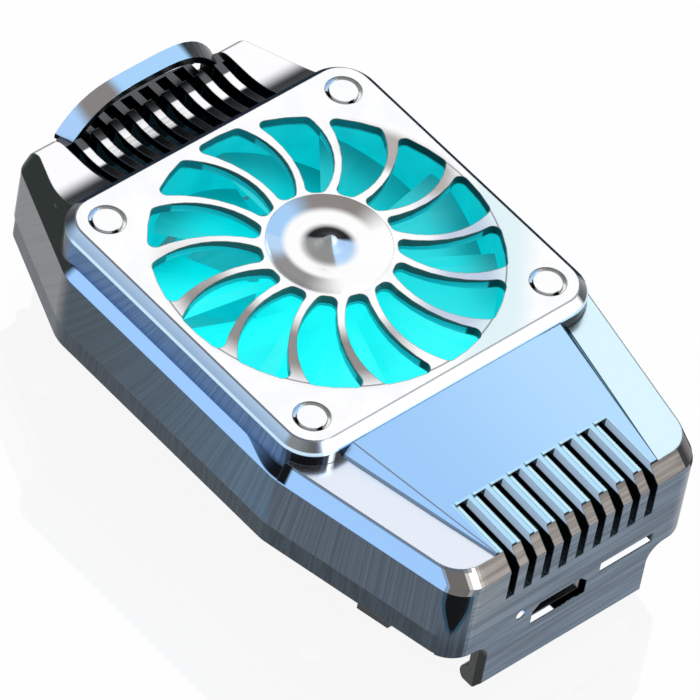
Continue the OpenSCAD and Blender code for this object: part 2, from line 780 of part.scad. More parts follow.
z_board = z_floor + port_h;
board_t = 0.8;
board_front = seat_front - 0.2;
board_l = 7.4;
board_rear = board_front - board_l;
board_half = 12.2;
switch_z = z_board;
light_z = z_board + 0.05;
port_d = 5.5;
recess = 0.7;
port_z = z_floor + port_h / 2;
battery_rear = seat_front - 17.8;
cradle_y = [for (share = [0.25, 0.75]) -battery_rear - share * battery_l];
z_battery = z_board + board_t + 0.9;

// Receptacle outline: the two upper corners are cut away
function port_outline(grow) =
    let(w = port_w / 2 + grow, h = port_h / 2 + grow, cut = 0.9)
    [[-w, -h], [w, -h], [w, h - cut], [w - cut, h], [-w + cut, h], [-w, h - cut]];

module port_hole() {
    translate([port_x, 0, port_z]) y_prism(-front_len - 1, -seat_front + 1, port_outline(0.12));
}

module port_clearance() {
    translate([port_x, 0, port_z + 0.05]) y_prism(-front_len, -seat_front + 1, port_outline(0.12));
}

module usb_port() {
    color("silver") at_fan() translate([port_x, 0, port_z]) difference() {
        y_prism(-front_len + recess, -front_len + port_d, port_outline(0));
        y_prism(-front_len - 1, -front_len + port_d - 0.4, port_outline(-0.25));
    }
}

module usb_tongue() {
    color("black") at_fan() translate([port_x, 0, port_z]) {
        block(-2.2, 2.2, -front_len + recess + 0.4, -front_len + port_d - 0.4, -0.35, 0.25);
    }
}

module main_board() {
    color("darkgreen") at_fan() difference() {
        block(-board_half, board_half, -board_front, -board_rear, z_board, z_board + board_t);
        block(switch_x - 4.5, switch_x + 4.5, -board_front - 1, -board_front + switch_d + 0.1, 0, big);
        block(light_x - 0.9, light_x + 0.9, -board_front - 1, -board_front + 1.3, 0, big);
    }
}

// Part on the board, by its middle along X and its share of the board's length from the front
module chip(x, share, w, l, h) {
    y = -board_front + share * board_l;
    block(x - w / 2, x + w / 2, y - l / 2, y + l / 2, 0, h);
}

module board_chips() {
    color("black") at_fan() translate([0, 0, z_board + board_t]) {
        chip(-1.9, 0.35, 3, 2.8, 0.9);
        chip(1.7, 0.25, 1.4, 2.8, 0.7);
        chip(-10.4, 0.5, 2.4, 3.4, 1.2);
        chip(5.4, 0.75, 2.8, 1.8, 0.8);
    }
}

switch_d = 3.4;

module switch_body() {
    color("black") at_fan() difference() {
        block(switch_x - 4.3, switch_x + 4.3, -board_front, -board_front + switch_d, switch_z - 1.4, switch_z + 1.4);
        block(switch_x - 3, switch_x + 3, -board_front - 1, -board_front + 1.2, switch_z - 0.6, switch_z + 0.6);
    }
}

knob_w = 2.6;

module switch_knob() {
    start = switch_x - 2.6;
    color("dimgray") at_fan()
        block(start, start + knob_w, -front_len + recess, -board_front + 1.1, switch_z - 0.5, switch_z + 0.5);
}

module indicator_light() {
    color("white") at_fan() translate([light_x, -front_len + recess, light_z]) rotate([-90, 0, 0]) {
        cylinder(r = light_r, h = front_t + 1 - recess);
    }
}

module battery() {
    color("silver") at_fan() translate([0, 0, z_battery])
        block(-battery_w / 2, battery_w / 2, -battery_rear - battery_l, -battery_rear, 0, battery_t);
}

module battery_tape() {
    color("gold") at_fan() translate([0, 0, z_battery + battery_t])
        block(-battery_w / 2, battery_w / 2, -battery_rear - battery_l, -battery_rear - battery_l + 2, 0, 0.1);
}

// Lead that runs along -Y and drops a little at its front end
module lead(x, y0, y1, z, drop) {
    r = 0.4;
    bend = 0.8;
    translate([x, y1 + bend, z]) rotate([-90, 0, 0]) cylinder(r = r, h = y0 - y1 - bend);
    translate([x, y1 + bend, z - bend]) rotate([90, 0, -90]) rotate_extrude(angle = 90)
        translate([bend, 0]) circle(r = r);
    translate([x, y1, z - bend - drop]) cylinder(r = r, h = drop);
}

module battery_leads() {
    z = z_battery + 1.6;
    color("red") at_fan() for (x = [-8, -6.6])
        lead(x, -battery_rear - battery_l, -battery_rear - battery_l - 1.5, z, z - 0.8 - z_board - board_t);
}

module fan_leads() {
    z = z_board + board_t + 1.3;
    color("red") at_fan() for (dz = [0, 0.9])
        lead(-12.35 + dz * 0.1, -frame_w / 2, -board_rear - 0.9 - dz, z + dz, z + dz - 0.8 - z_board - board_t);
}

// Sliding jaw

z_tray = z_floor + slide_gap;
jaw_inner = bay_rear + slide_gap;
z_spring = z_tray + tray_t + spring_r + 0.2;
spring_front = 19.2;
spring_rear = 2;
post_pin_r = 0.5;
tray_front = 17;
deck_z = z_rear - 0.65;
deck_cut = 1.6;

// Arch outline seen from the rear: its height falls with a power of the distance from the
// middle, from a flat top to steep feet
function arch_curve(foot, power, base, rise, n = 24) =
    [for (i = [0:n]) let(u = cos(i * 180 / n)) [u * foot, base + rise * (1 - pow(abs(u), power))]];

module arch_slice(y, foot, power, low) {
    translate([0, y, 0]) rotate([90, 0, 0]) linear_extrude(tiny)
        polygon(concat(arch_curve(foot, power, deck_z, arch_h), [[-foot, low], [foot, low]]));
}

module rear_jaw() {
    outer = rear_len + jaw_bow;
    bow_r = (pow(jaw_half, 2) + pow(2 * jaw_bow, 2)) / (4 * jaw_bow);
    color("silver") at_fan() {
        difference() {
            union() {
                intersection() {
                    union() {
                        block(-jaw_half, jaw_half, jaw_inner, outer, z_tray, deck_z);
                        intersection() {
                            jaw_front(jaw_inner, outer, z_tray + 1);
                            translate([0, outer, 0]) mirror([0, 1, 0]) jaw_section(z_tray + 1);
                            block(-big, big, outer - plate_t, big, 0, big);
                        }
                    }
                    translate([0, outer - bow_r, 0]) cylinder(r = bow_r, h = big, $fn = 128);
                    block(-jaw_half, jaw_half, 0, big, 0, big);
                }
                hull() {
                    arch_slice(jaw_inner + tiny, arch_half, 3.2, deck_z - 0.5);
                    arch_slice(jaw_inner + arch_d, arch_half + 0.7, 4, deck_z - 0.5);
                }
                block(-tray_half, tray_half, -tray_front, jaw_inner + tiny, z_tray, z_tray + tray_t);
                block(-guide_half, guide_half, -tray_front, guide_rear, z_tray, z_tray + tray_t);
                for (s = [-1, 1]) translate([s * spring_x, spring_rear, z_tray + tray_t - tiny])
                    cylinder(r = post_pin_r, h = z_spring + 0.6 - z_tray - tray_t);
            }
            y_prism(jaw_inner - 1, jaw_inner + arch_d + 1,
                arch_curve(arch_half - arch_t, 3.4, deck_z, arch_h - arch_t));
            for (i = [0:ribs - 2]) translate([(i - (ribs - 2) / 2) * rib_pitch, 0, 0])
                block(-(rib_pitch - rib_w) / 2, (rib_pitch - rib_w) / 2, 0, outer - 0.5, deck_z - deck_cut, deck_z + tiny);
        }
    }
}

module front_jaw_pad() {
    color("black") at_fan() intersection() {
        translate([0, -front_len, 0]) jaw_section(z_seat - 0.1);
        jaw_front(-front_len + plate_t, -front_len + 10, z_skirt);
        block(-jaw_half, jaw_half, -front_len + plate_t, 0, 0, big);
    }
}

module rear_jaw_pad() {
    outer = rear_len + jaw_bow;
    color("black") at_fan() intersection() {
        translate([0, outer, 0]) mirror([0, 1, 0]) jaw_section(z_seat - 0.1);
        jaw_front(outer - 10, outer - plate_t, z_skirt);
        block(-jaw_half, jaw_half, 0, outer - plate_t, 0, big);
    }
}

module slide_springs() {
    color("gray") at_fan() for (s = [-1, 1]) translate([s * spring_x, 0, z_spring]) {
        rotate([90, 0, 0]) ring(spring_r, spring_r - 0.3, -spring_rear + 1.6, spring_front - 1.6);
        for (y = [-spring_front, spring_rear]) translate([0, y, 0])
            ring(spring_r, post_pin_r + 0.05, -0.15, 0.15);
        for (y = [-spring_front, spring_rear - 1.7])
            block(-0.15, 0.15, y + 0.85 * (y < -spring_front / 2 ? 1 : 0), y + 1.7 - 0.85 * (y < -spring_front / 2 ? 0 : 1),
                -0.15, 0.15);
    }
}

pad_in = 8;
z_pad = z_seat - 0.4;

module seat_pads() {
    color("black") at_fan() both_sides()
        block(pad_in, seat_half - 1, 4.4 - seat_front, rear_len - 6.2, z_pad, z_seat);
}

foot_y = 7.8 - front_len;

module foot_pads() {
    color("black") at_fan() both_sides() intersection() {
        block(seat_half + 1, body_w / 2, foot_y, foot_y + 3.8, z_skirt - 0.8, z_skirt);
        plan_prism(z_skirt - 1, z_skirt + 1, 0.2);
    }
}

upper_housing();
lower_housing();
grille_cover();
hub_cap();
corner_caps();
cover_screws();
shell_screws();
fan_frame();
impeller();
rotor_yoke();
magnet_ring();
rotor_shaft();
shaft_bearing();
stator_core();
stator_coils();
fan_board();
led_board();
leds();
main_board();
board_chips();
usb_port();
usb_tongue();
switch_body();
switch_knob();
indicator_light();
battery();
battery_tape();
battery_leads();
fan_leads();
rear_jaw();
slide_springs();
front_jaw_pad();
rear_jaw_pad();
seat_pads();
foot_pads();
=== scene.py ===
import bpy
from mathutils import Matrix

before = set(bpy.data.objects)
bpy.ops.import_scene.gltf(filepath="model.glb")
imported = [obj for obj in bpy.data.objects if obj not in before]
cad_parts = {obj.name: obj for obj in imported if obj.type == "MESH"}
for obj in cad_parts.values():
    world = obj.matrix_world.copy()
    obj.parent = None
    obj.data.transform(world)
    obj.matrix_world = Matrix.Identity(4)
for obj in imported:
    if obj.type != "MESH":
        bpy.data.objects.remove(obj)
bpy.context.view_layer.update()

import math

import bpy
from mathutils import Matrix, Vector

# The camera looks down on the cooler from the front left, from a metre away, and leans a
# little, as the photograph does. It aims beside the fan, so that the fan sits up and left.
fan_y = 0.0049
plate_top = 0.0230
view_turn, view_rise, view_lean = map(math.radians, (-48.9547, 47.2053, 10.9305))
view_distance, view_focal = 0.960, 9447.12
fan_pixel = (328.0981, 250.6402)
picture_width, sensor_width = 700, 36
away = Vector((math.sin(view_turn) * math.cos(view_rise), -math.cos(view_turn) * math.cos(view_rise),
               math.sin(view_rise)))
level = Vector((math.cos(view_turn), math.sin(view_turn), 0))
rise = away.cross(level)
right = level * math.cos(view_lean) + rise * math.sin(view_lean)
up = rise * math.cos(view_lean) - level * math.sin(view_lean)
fan_left, fan_above = [picture_width / 2 - pixel for pixel in fan_pixel]
forward = (-away * view_focal + right * fan_left - up * fan_above).normalized()
right = (right - forward * right.dot(forward)).normalized()
up = right.cross(forward)
turn = Matrix((right, up, -forward)).transposed().to_4x4()
camera = bpy.data.objects.new("camera", bpy.data.cameras.new("camera"))
bpy.context.scene.collection.objects.link(camera)
camera.matrix_world = Matrix.Translation(Vector((0, fan_y, plate_top)) + away * view_distance) @ turn
camera.data.sensor_width = sensor_width
camera.data.lens = view_focal * sensor_width / picture_width
camera.data.clip_start, camera.data.clip_end = 0.05, 20
bpy.context.scene.camera = camera
bpy.context.scene.view_settings.view_transform = "Standard"


# The room is a plain white studio. Camera, mirror and glass rays see the white backdrop,
# and other rays a soft sky, so that the light on the cooler stays at a plain level.
def add(tree, kind, inputs=None, **settings):
    """A node of that kind with its settings, each input linked where its value is a socket."""
    made = tree.nodes.new(kind)
    for key, value in settings.items():
        setattr(made, key, value)
    for key, value in (inputs or {}).items():
        if isinstance(value, bpy.types.NodeSocket):
            tree.links.new(value, made.inputs[key])
        else:
            made.inputs[key].default_value = value
    return made


def calc(tree, operation, first, second=0.0):
    """The outcome of one sum on two numbers or sockets."""
    return add(tree, "ShaderNodeMath", {0: first, 1: second}, operation=operation).outputs[0]


def backdrop_ray(tree):
    """One for rays that see the backdrop: from the camera, off a mirror or through glass."""
    path = add(tree, "ShaderNodeLightPath").outputs
    seen = calc(tree, "MAXIMUM", path["Is Camera Ray"], path["Is Glossy Ray"])
    return calc(tree, "MAXIMUM", seen, path["Is Transmission Ray"])


world = bpy.data.worlds.new("studio")
world.use_nodes = True
bpy.context.scene.world = world
sky = world.node_tree
sky.nodes.clear()
soft = add(sky, "ShaderNodeBackground", {"Color": (0.9, 0.95, 1, 1), "Strength": 0.7})
white = add(sky, "ShaderNodeBackground", {"Color": (1, 1, 1, 1), "Strength": 1.0})
blend = add(sky, "ShaderNodeMixShader", {0: backdrop_ray(sky), 1: soft.outputs[0], 2: white.outputs[0]})
add(sky, "ShaderNodeOutputWorld", {0: blend.outputs[0]})


def lamp(name, place, size, power, colour):
    """A square soft box at a place, turned to the middle of the cooler."""
    light = bpy.data.lights.new(name, "AREA")
    light.size, light.energy, light.color = size, power, colour
    box = bpy.data.objects.new(name, light)
    box.matrix_world = Matrix.Translation(place) @ Vector(place).to_track_quat("Z", "Y").to_matrix().to_4x4()
    bpy.context.scene.collection.objects.link(box)


lamp("key_lamp", place=(0.15, -0.45, 0.45), size=0.22, power=0.7, colour=(1, 0.98, 0.96))
lamp("rear_lamp", place=(-0.15, 0.5, 0.35), size=0.25, power=0.5, colour=(0.88, 0.94, 1))

half_floor = 3.0
floor_mesh = bpy.data.meshes.new("floor")
floor_mesh.from_pydata([(half_floor * right_side, half_floor * rear_side, 0)
                        for right_side, rear_side in ((-1, -1), (1, -1), (1, 1), (-1, 1))], [], [(0, 1, 2, 3)])
floor = bpy.data.objects.new("floor", floor_mesh)
bpy.context.scene.collection.objects.link(floor)
ground = bpy.data.materials.new("white_table")
ground.use_nodes = True
tree = ground.node_tree
tree.nodes.clear()
matt = add(tree, "ShaderNodeBsdfDiffuse", {"Color": (0.9, 0.91, 0.93, 1)})
glow = add(tree, "ShaderNodeEmission", {"Color": (1, 1, 1, 1), "Strength": 1.0})
gloss = add(tree, "ShaderNodeBsdfGlossy", {"Color": (1, 1, 1, 1), "Roughness": 0.03})
glow_share, gloss_share = calc(tree, "MULTIPLY", backdrop_ray(tree), 0.97), 0.06
table = add(tree, "ShaderNodeMixShader", {0: glow_share, 1: matt.outputs[0], 2: glow.outputs[0]})
table = add(tree, "ShaderNodeMixShader", {0: gloss_share, 1: table.outputs[0], 2: gloss.outputs[0]})
below = add(tree, "ShaderNodeNewGeometry").outputs["Backfacing"]
through = add(tree, "ShaderNodeBsdfTransparent")
table = add(tree, "ShaderNodeMixShader", {0: below, 1: table.outputs[0], 2: through.outputs[0]})
add(tree, "ShaderNodeOutputMaterial", {0: table.outputs[0]})
floor_mesh.materials.append(ground)


# The lower housing is the dark plated base: a skirt round the body and the flat slide bed
# that the phone rests on. It is moulded plastic, brushed before plating, screwed from below.
def srgb(code):
    """The linear colour of a six-digit code."""
    parts = [int(code[i:i + 2], 16) / 255 for i in (0, 2, 4)]
    return tuple(p / 12.92 if p <= 0.04045 else ((p + 0.055) / 1.055) ** 2.4 for p in parts) + (1,)


def finish_of(name):
    """A new material: its tree, place in mm from the fan axis (X, Y, Z) and normal (X, Y, Z)."""
    finish = bpy.data.materials.new(name)
    finish.use_nodes = True
    tree = finish.node_tree
    tree.nodes.clear()
    at = add(tree, "ShaderNodeTexCoord")
    in_mm = (1000, 1000, 1000)
    place = add(tree, "ShaderNodeVectorMath", {0: at.outputs["Object"], 1: (0, fan_y, 0)}, operation="SUBTRACT")
    place = add(tree, "ShaderNodeVectorMath", {0: place.outputs[0], 1: in_mm}, operation="MULTIPLY")
    spot = add(tree, "ShaderNodeSeparateXYZ", {0: place.outputs[0]}).outputs
    facing = add(tree, "ShaderNodeSeparateXYZ", {0: at.outputs["Normal"]}).outputs
    return finish, tree, place.outputs[0], list(spot), list(facing)


def between(tree, value, low, high):
    """Rises smoothly from 0 at low to 1 at high; high may be the lower of the two."""
    return add(tree, "ShaderNodeMapRange", {0: value, 1: low, 2: high, 3: 0.0, 4: 1.0},
               interpolation_type="SMOOTHSTEP").outputs[0]


def band(tree, value, low, high, soft_edge):
    """One from low to high, with soft edges."""
    inside = between(tree, value, low - soft_edge, low + soft_edge)
    return calc(tree, "MULTIPLY", inside, between(tree, value, high + soft_edge, high - soft_edge))


def both(tree, *shares):
    """The product of shares, which is 1 only where each is 1."""
    outcome = shares[0]
    for share in shares[1:]:
        outcome = calc(tree, "MULTIPLY", outcome, share)
    return outcome


def tint(tree, share, first, second):
    """The first colour where share is 0 and the second where it is 1; codes or sockets."""
    pair = [srgb(tone) if isinstance(tone, str) else tone for tone in (first, second)]
    return add(tree, "ShaderNodeMix", {0: share, 6: pair[0], 7: pair[1]}, data_type="RGBA").outputs[2]


def streaks(tree, place, scale):
    """Fine brush lines: noise stretched along the axis with the smallest scale."""
    stretched = add(tree, "ShaderNodeVectorMath", {0: place, 1: scale}, operation="MULTIPLY").outputs[0]
    return add(tree, "ShaderNodeTexNoise", {"Vector": stretched, "Scale": 1.0, "Detail": 3.0}).outputs[0]


def brushed(tree, lines, dark, light):
    """The tone of a brushed face between its darkest and its lightest line."""
    return tint(tree, between(tree, lines, 0.3, 0.7), dark, light)


def edge_line(tree, width):
    """One along the edges of the piece, within that width in metres, and 0 elsewhere."""
    rounded = add(tree, "ShaderNodeBevel", {"Radius": width}, samples=6).outputs[0]
    true_normal = add(tree, "ShaderNodeNewGeometry").outputs["True Normal"]
    match = add(tree, "ShaderNodeVectorMath", {0: rounded, 1: true_normal}, operation="DOT_PRODUCT").outputs["Value"]
    return between(tree, match, 0.999, 0.97)


def plated(tree, colour, roughness, grain=None, depth=0.0, metallic=1.0):
    """Plated plastic: metal colour and roughness, softened edges and a shallow grain."""
    edge_radius, grain_height = 0.00012, 0.0001
    soft_edge = add(tree, "ShaderNodeBevel", {"Radius": edge_radius}, samples=6).outputs[0]
    if grain is not None:
        soft_edge = add(tree, "ShaderNodeBump", {"Height": grain, "Normal": soft_edge, "Strength": depth,
                                                 "Distance": grain_height}).outputs[0]
    skin = add(tree, "ShaderNodeBsdfPrincipled", {"Base Color": colour, "Roughness": roughness,
                                                  "Metallic": metallic, "Normal": soft_edge})
    add(tree, "ShaderNodeOutputMaterial", {0: skin.outputs[0]})
    return skin


def far_edge(tree, normal):
    """One on faces that only just look to the front left and above, or look away; 0 elsewhere."""
    normal = add(tree, "ShaderNodeCombineXYZ", dict(enumerate(normal))).outputs[0]
    facing = add(tree, "ShaderNodeVectorMath", {0: normal, 1: tuple(away)}, operation="DOT_PRODUCT").outputs["Value"]
    return between(tree, facing, 0.32, 0.26)


def dull(tree, skin, share):
    """Takes the gloss off a skin where the share is 1."""
    full_gloss = 0.5
    gloss = calc(tree, "MULTIPLY", calc(tree, "SUBTRACT", 1.0, share), full_gloss)
    tree.links.new(gloss, skin.inputs["Specular IOR Level"])


def wear(finish, *node_names):
    """Puts the finish on carried-over nodes."""
    for node_name in node_names:
        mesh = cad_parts[node_name].data
        mesh.materials.clear()
        mesh.materials.append(finish)


base_finish, tree, place, (x, y, z), (to_x, to_y, to_z) = finish_of("dark_plating")
lines = streaks(tree, place, (2.6, 2.6, 0.25))
tone = brushed(tree, lines, "353E47", "434D57")
# Faces turned to the front are painted a lighter grey, and faces turned down a darker grey, as reflections.
tone = tint(tree, between(tree, to_y, -0.3, -0.8), tone, brushed(tree, lines, "4E4F50", "606061"))
tone = tint(tree, between(tree, to_z, -0.6, -0.9), tone, "3A3E42")
# The faces of the fan chamber carry a painted cyan glow, standing in for the light of the fan's LEDs.
chamber_half, chamber_foot, chamber_head, floor_top = 18.8, 7.0, 16, 9.1
in_chamber = both(tree, band(tree, x, -chamber_half, chamber_half, 0.1),
                  band(tree, y, -chamber_half, chamber_half, 0.1),
                  band(tree, z, chamber_foot, chamber_head, 0.1))
above_floor = between(tree, z, floor_top - 0.1, floor_top + 0.1)
chamber_face = calc(tree, "MAXIMUM", between(tree, to_z, 0.5, 0.8), above_floor)
in_fan = both(tree, in_chamber, chamber_face, between(tree, to_z, -0.5, -0.1))
skin = plated(tree, tone, roughness=0.34, grain=lines, depth=0.06)
tree.links.new(in_fan, skin.inputs["Emission Strength"])
skin.inputs["Emission Color"].default_value = srgb("00A9B4")
wear(base_finish, "lower_housing")


# The upper housing is one plated moulding: walls, bevels, shoulders, raised panel, rear louvre and front jaw. Its
# walls are brushed. The tones of its walls and the pale of its upper faces are painted reflections, highlights and
# shade, placed by position and by the way each face turns.
def turn_share(tree, aside, along):
    """From -1 where a face turns forwards, over 0 at the sides, to 1 where it turns back."""
    whole = calc(tree, "ADD", calc(tree, "ABSOLUTE", aside), calc(tree, "ABSOLUTE", along))
    return calc(tree, "DIVIDE", along, whole)


def sloped(tree, value, start, slope, at_start):
    """A straight slope: at_start where the value is start, and more by slope past it."""
    return calc(tree, "ADD", calc(tree, "MULTIPLY", calc(tree, "SUBTRACT", value, start), slope), at_start)


shell_finish, tree, place, (x, y, z), (to_x, to_y, to_z) = finish_of("shell_plating")
off_axis = calc(tree, "ABSOLUTE", x)
aside = calc(tree, "ABSOLUTE", to_x)
turned = turn_share(tree, to_x, to_y)

# Brush lines rise on the side walls, leaning more towards the rear, and run across the ends.
most_lean = 0.75
lean = both(tree, between(tree, y, -34, 14), most_lean)
slant = calc(tree, "ADD", y, calc(tree, "MULTIPLY", z, lean))
side_place = add(tree, "ShaderNodeCombineXYZ", {0: slant, 1: calc(tree, "MULTIPLY", x, 0.3)}).outputs[0]
rising = streaks(tree, side_place, (2.6, 0.2, 1))
across = streaks(tree, place, (0.08, 1, 2.4))

# The walls' tones are painted reflections, by the way they face: sides, slanted front and rear sides, rear end, front
# end.
forward_share = between(tree, y, 18, -28)
front_slant, rear_slant = between(tree, to_y, -0.1, -0.2), between(tree, to_y, 0.08, 0.2)
rear_end, front_end = between(tree, to_y, 0.4, 0.7), between(tree, to_y, -0.93, -0.985)
wall = brushed(tree, rising, tint(tree, forward_share, "38454F", "496278"),
               tint(tree, forward_share, "424F5A", "5A738B"))
wall = tint(tree, front_slant, wall, brushed(tree, rising, "475360", "5A6674"))
wall = tint(tree, rear_slant, wall, brushed(tree, rising, "484C50", "575B5F"))
wall = tint(tree, rear_end, wall, brushed(tree, across, "2E3338", "4A5056"))
# The foot of the front left corner is painted darker, as shade. The front's upper left part and its lowest band take
# other painted reflection tones.
corner_foot = both(tree, between(tree, to_y, -0.24, -0.4), between(tree, z, 14, 9))
wall = tint(tree, corner_foot, wall, brushed(tree, rising, "2C363F", "47515A"))
upper_left = both(tree, between(tree, z, 9, 17), between(tree, x, -2, -16))
front = tint(tree, upper_left, brushed(tree, across, "4B5A6B", "6A7B8D"),
             brushed(tree, across, "66727A", "868F95"))
jaw_part = between(tree, z, 4, 0.6)
wall = tint(tree, front_end, wall, tint(tree, jaw_part, front, "5C7089"))

# A dark V of painted shade, with a blue border, is painted on the front left corner and widens upwards.
v_middle, v_foot, v_head, v_widest, diagonal = 16.6, 10.9, 16.6, 1.15, 0.7071
along_corner = calc(tree, "MULTIPLY", calc(tree, "SUBTRACT", x, y), diagonal)
from_middle = calc(tree, "ABSOLUTE", calc(tree, "SUBTRACT", along_corner, v_middle))
v_half = both(tree, between(tree, z, v_foot, v_head), v_widest)
past_v = calc(tree, "SUBTRACT", from_middle, v_half)
v_border, v_dark = between(tree, past_v, 0.42, 0.28), between(tree, past_v, 0.08, -0.08)
at_corner = both(tree, between(tree, x, -12, -13), between(tree, y, -36, -37), between(tree, z, 11.2, 13))
wall = tint(tree, both(tree, at_corner, v_border), wall, "2A4A5E")
wall = tint(tree, both(tree, at_corner, v_dark), wall, "05080B")

# The fan block's walls stand over the deck, in painted reflection tones: blue to the left, and dark at the corners
# and along the front. The right side is painted dark as shade, and a narrow pale band near the front's left end is a
# painted highlight.
block_foot = 18.9
over_deck = between(tree, z, block_foot - 0.2, block_foot + 0.2)
block_corner = between(tree, both(tree, aside, calc(tree, "ABSOLUTE", to_y)), 0.08, 0.4)
block_right, block_front = between(tree, to_x, 0.3, 0.6), between(tree, to_y, -0.9, -0.97)
pale_band = band(tree, x, -17.0, -16.3, 0.15)
block_wall = tint(tree, block_corner, brushed(tree, rising, "41618A", "56779F"), "07090D")
block_wall = tint(tree, block_right, block_wall, "20262C")
block_wall = tint(tree, block_front, block_wall, tint(tree, pale_band, "101317", "B4B6B8"))
wall = tint(tree, over_deck, wall, block_wall)

# The vents are slots over the front edge of the panel. The lower part of their sides is painted dark as shade, and
# the upper part is painted pale with a faint glow, as light caught on it.
vent_back, vent_left, vent_right, vent_foot = -31.8, -10.8, 10.2, 13
vent_span = between(tree, y, vent_back + 0.1, vent_back - 0.1)
in_vents = both(tree, vent_span, band(tree, x, vent_left, vent_right, 0.05),
                between(tree, z, vent_foot, vent_foot + 0.2))
slot_side = both(tree, in_vents, between(tree, aside, 0.9, 0.98))
deck_z = sloped(tree, y, start=-39.1, slope=0.0645, at_start=20.65)
depth_share = between(tree, calc(tree, "SUBTRACT", deck_z, z), 1.15, 0.95)
wall = tint(tree, slot_side, wall, tint(tree, depth_share, "07090B", "90A4B8"))

# The openings of the front wall have walls painted dark as shade. Their floors are given a painted glow, as light
# caught on them, but for the receptacle's, which stays dark as shade. The jaw's end faces are painted near black, as
# a dark reflection.
front_skin = -40.35, -38.2
opening_foot, port_left, port_right = 6.7, -1.9, 2.5
through_wall = band(tree, y, *front_skin, 0.02)
at_port = both(tree, between(tree, x, port_left - 0.1, port_left + 0.1),
               between(tree, x, port_right + 0.1, port_right - 0.1))
hole_floor = both(tree, through_wall, band(tree, z, opening_foot, 12.5, 0.1), between(tree, to_z, 0.3, 0.6))
catch_light = both(tree, hole_floor, calc(tree, "SUBTRACT", 1.0, at_port))
hole_side = both(tree, through_wall, band(tree, z, opening_foot, 12.9, 0.1), between(tree, to_y, -0.5, -0.3),
                 band(tree, x, -8.4, 11.4, 0.1))
jaw_end = both(tree, between(tree, z, 7.2, 6.8), between(tree, aside, 0.5, 0.7))
wall = tint(tree, jaw_end, wall, "15181B")
wall = tint(tree, hole_side, wall, "08090A")

# The rear louvre is painted nearly black between its ribs, as shade.
louvre_front, louvre_half = 20.4, 11.3
in_louvre = both(tree, between(tree, y, louvre_front - 0.1, louvre_front + 0.1),
                 band(tree, x, -louvre_half, louvre_half, 0.05), between(tree, z, 14, 14.5))
wall = tint(tree, in_louvre, wall, "04041A")

# The bevels' tones are painted reflections, by the way they turn: blue to the left, dark to the right and the rear,
# brown-grey along the front. The front corners are grey, then a painted white highlight on the left and dark on the
# right. A painted dark line runs along the front left bevel's top, and a dark tongue of painted shade dips beside the
# block's front left corner.
to_right, to_left = between(tree, to_x, -0.1, 0.1), between(tree, to_x, -0.1, -0.3)
on_left, on_right = between(tree, x, 3, 0), between(tree, x, 0, 3)
side_end, corner_end = between(tree, turned, -0.22, -0.34), between(tree, turned, -0.6, -0.68)
to_front, to_rear = between(tree, turned, -0.8, -0.86), between(tree, turned, 0.1, 0.25)
bevel = tint(tree, to_right, "A0CCFF", "1C242A")
bevel = tint(tree, side_end, bevel, "6E6A68")
bevel = tint(tree, both(tree, corner_end, on_left), bevel, "F8F8F6")
bevel = tint(tree, both(tree, corner_end, on_right), bevel, "3C3D40")
bevel = tint(tree, to_front, bevel, brushed(tree, across, "7A7470", "A09A96"))
bevel = tint(tree, to_rear, bevel, "2C3230")
top_line = both(tree, band(tree, z, 20.0, 20.6, 0.04), between(tree, y, -16.5, -17), to_left)
bevel = tint(tree, both(tree, top_line, 0.8), bevel, "5F6A75")
dip = calc(tree, "ADD", z, between(tree, y, -10.5, -16.3))
tongue = both(tree, between(tree, y, -18.7, -18.3), between(tree, y, -9.5, -10.5),
              between(tree, dip, 18.95, 19.1), to_left)
tongue_tip = between(tree, y, -12, -16.5)
bevel = tint(tree, tongue, bevel, tint(tree, tongue_tip, "4C6E9A", "12161B"))

# The deck: pale shoulders and a blue panel that slopes to the front, told apart by their slope and painted in
# reflection tones; a strip beside the panel's right edge, painted dark as shade near the block; and painted dark
# lines of shade along its edges.
before_block = between(tree, y, -19.4, -19.8)
panel = tint(tree, between(tree, x, -12, 14), "9FCBFA", "B6DEFF")
shoulder = tint(tree, between(tree, x, -14, 14), "E6EDF8", "DDF6FF")
shoulder = tint(tree, between(tree, y, 0, 10), shoulder, "FDFDFF")
on_panel = between(tree, to_y, -0.02, -0.045)
deck = tint(tree, on_panel, shoulder, panel)
panel_half = sloped(tree, y, start=-19.75, slope=0.1705, at_start=14.2)
strip_w = sloped(tree, y, start=-39, slope=0.062, at_start=0.12)
beside = calc(tree, "SUBTRACT", off_axis, panel_half)
past_strip = calc(tree, "SUBTRACT", beside, strip_w)
right_deck = both(tree, between(tree, x, 0, 1), before_block)
strip = both(tree, right_deck, between(tree, beside, -0.05, 0.0), between(tree, past_strip, 0.05, -0.05))
strip_head = between(tree, y, -22.5, -20.5)
deck = tint(tree, strip, deck, tint(tree, strip_head, "A6D2FA", "2B3338"))
for strip_line in (band(tree, beside, -0.1, 0.12, 0.04), band(tree, past_strip, -0.12, 0.06, 0.04)):
    deck = tint(tree, both(tree, right_deck, strip_line), deck, "30586C")
left_line = both(tree, band(tree, beside, -0.16, 0.14, 0.05), between(tree, x, 0, -1), before_block, 0.8)
deck = tint(tree, left_line, deck, "8F8A88")
front_part = between(tree, y, -16, -18)
fine_edge, broad_edge = edge_line(tree, 0.0002), edge_line(tree, 0.0003)
left_rim = both(tree, fine_edge, between(tree, x, -11.5, -12.5), front_part, 0.85)
deck = tint(tree, left_rim, deck, "59606A")
rear_rim_line = both(tree, fine_edge, between(tree, y, 19, 20), 0.85)
deck = tint(tree, rear_rim_line, deck, "4A4E52")
right_rim = both(tree, broad_edge, between(tree, x, 10.5, 12.5), front_part)

